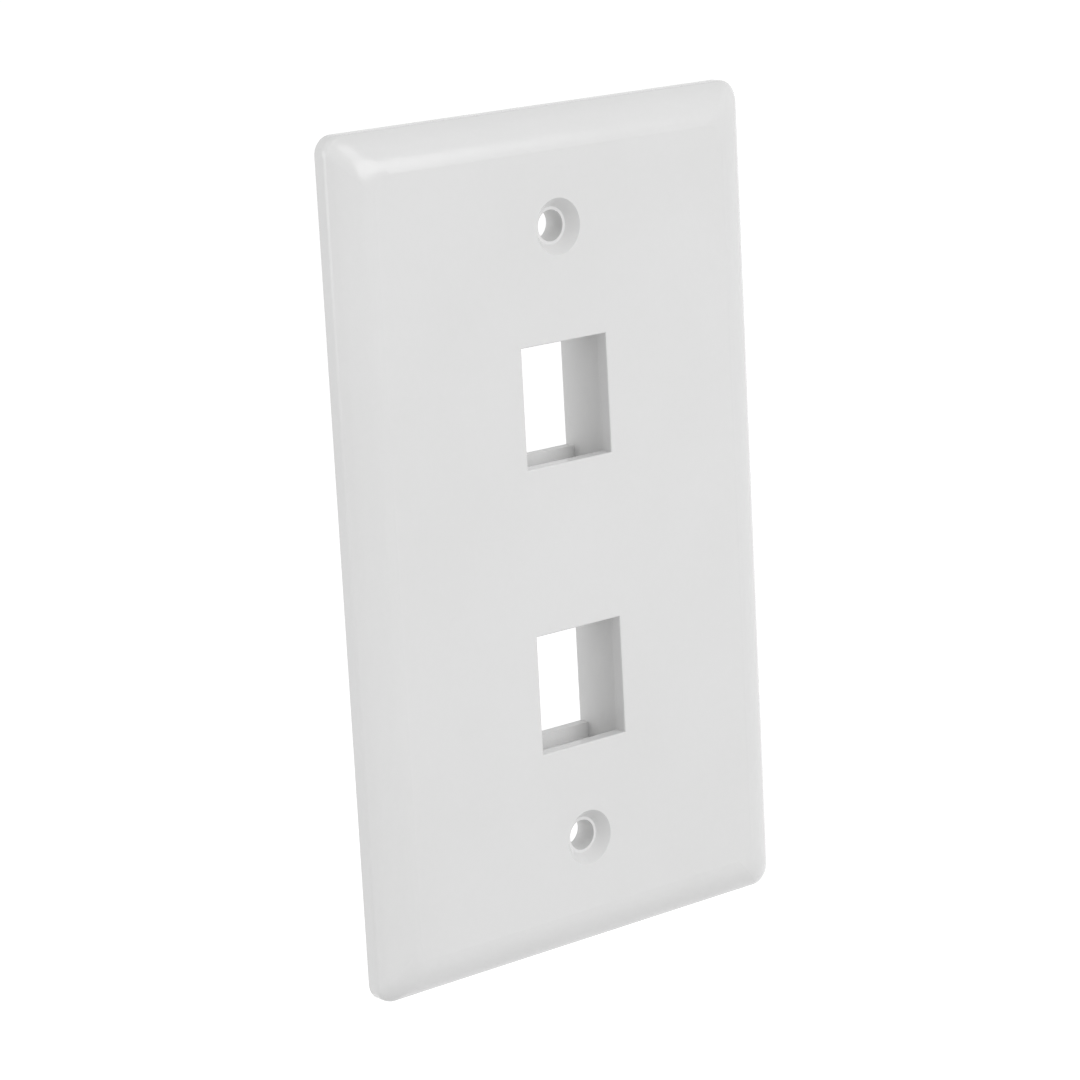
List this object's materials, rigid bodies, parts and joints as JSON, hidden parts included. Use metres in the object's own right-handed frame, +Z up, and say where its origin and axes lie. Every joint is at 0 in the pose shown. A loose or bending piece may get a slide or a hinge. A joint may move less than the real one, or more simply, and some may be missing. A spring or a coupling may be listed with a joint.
{
  "type": "keystone faceplate",
  "caption": "Upright wall plate with a rounded shoulder, square snap-in jack ports in collars behind the face, and countersunk screw holes.",
  "frame": {"origin": "centre of the screw hole pattern, in the wall plane that the back rim sits on", "axes": "+Z up with the plate upright, +X to the right seen from the front, -Y out of the front face towards the room"},
  "size_m": [0.0698, 0.0094, 0.1142],
  "materials": {
    "plastic": "smooth gloss white moulding"
  },
  "bodies": {
    "root": {"faceplate": "plastic"}
  },
  "joints": []
}
